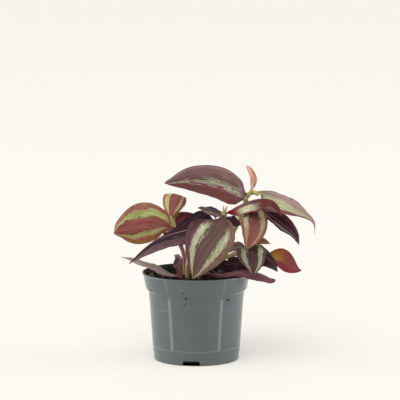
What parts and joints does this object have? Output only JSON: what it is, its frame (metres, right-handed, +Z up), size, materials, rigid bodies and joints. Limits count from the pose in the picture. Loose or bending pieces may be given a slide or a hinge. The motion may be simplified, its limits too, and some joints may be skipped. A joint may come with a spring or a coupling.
{
  "type": "potted inch plant",
  "caption": "Small inch plant with striped purple and silver-green leaves, rooted as cuttings in soil in a round tapered plastic nursery pot.",
  "frame": {"origin": "centre of the flat underside of the pot's floor, on the surface that the pot stands on", "axes": "+Z up along the pot's axis, -Y towards the front of the plant, +X to the right seen from the front"},
  "size_m": [0.1117, 0.0705, 0.1092],
  "materials": {
    "pot_plastic": "satin",
    "soil": "matte",
    "stem_green": "satin",
    "stem_red": "satin",
    "leaf_striped": "satin",
    "leaf_young": "satin",
    "leaf_dark": "satin"
  },
  "bodies": {
    "root": {"pot": "pot_plastic", "potting_soil": "soil", "stem_left": "stem_red", "stem_centre": "stem_green", "stem_tall": "stem_green", "stem_low": "stem_green", "stem_right": "stem_green", "stem_back": "stem_green", "stem_rim_left": "stem_red", "stem_rim_front": "stem_red", "leaf_top": "leaf_striped", "leaf_left": "leaf_young", "leaf_left_young": "leaf_young", "leaf_left_inner": "leaf_striped", "leaf_long": "leaf_dark", "leaf_small": "leaf_striped", "leaf_front": "leaf_striped", "leaf_right": "leaf_striped", "leaf_dusk": "leaf_dark", "leaf_tailed": "leaf_striped", "leaf_upright": "leaf_young", "leaf_dark": "leaf_dark", "leaf_hanging": "leaf_striped", "leaf_low_front": "leaf_striped", "leaf_low_tiny": "leaf_young", "leaf_low_right": "leaf_dark", "leaf_low_hump": "leaf_striped", "leaf_low_shaded": "leaf_dark", "leaf_far_right": "leaf_young", "leaf_rim_right": "leaf_dark", "leaf_rim_left": "leaf_striped", "leaf_rolled": "leaf_dark", "leaf_back_left": "leaf_striped", "leaf_back_top": "leaf_striped", "leaf_back_right": "leaf_striped", "leaf_back_low": "leaf_striped", "leaf_back_shoot_left": "leaf_striped", "leaf_back_shoot_right": "leaf_striped", "leaf_back_shoot_low": "leaf_striped"}
  },
  "joints": []
}
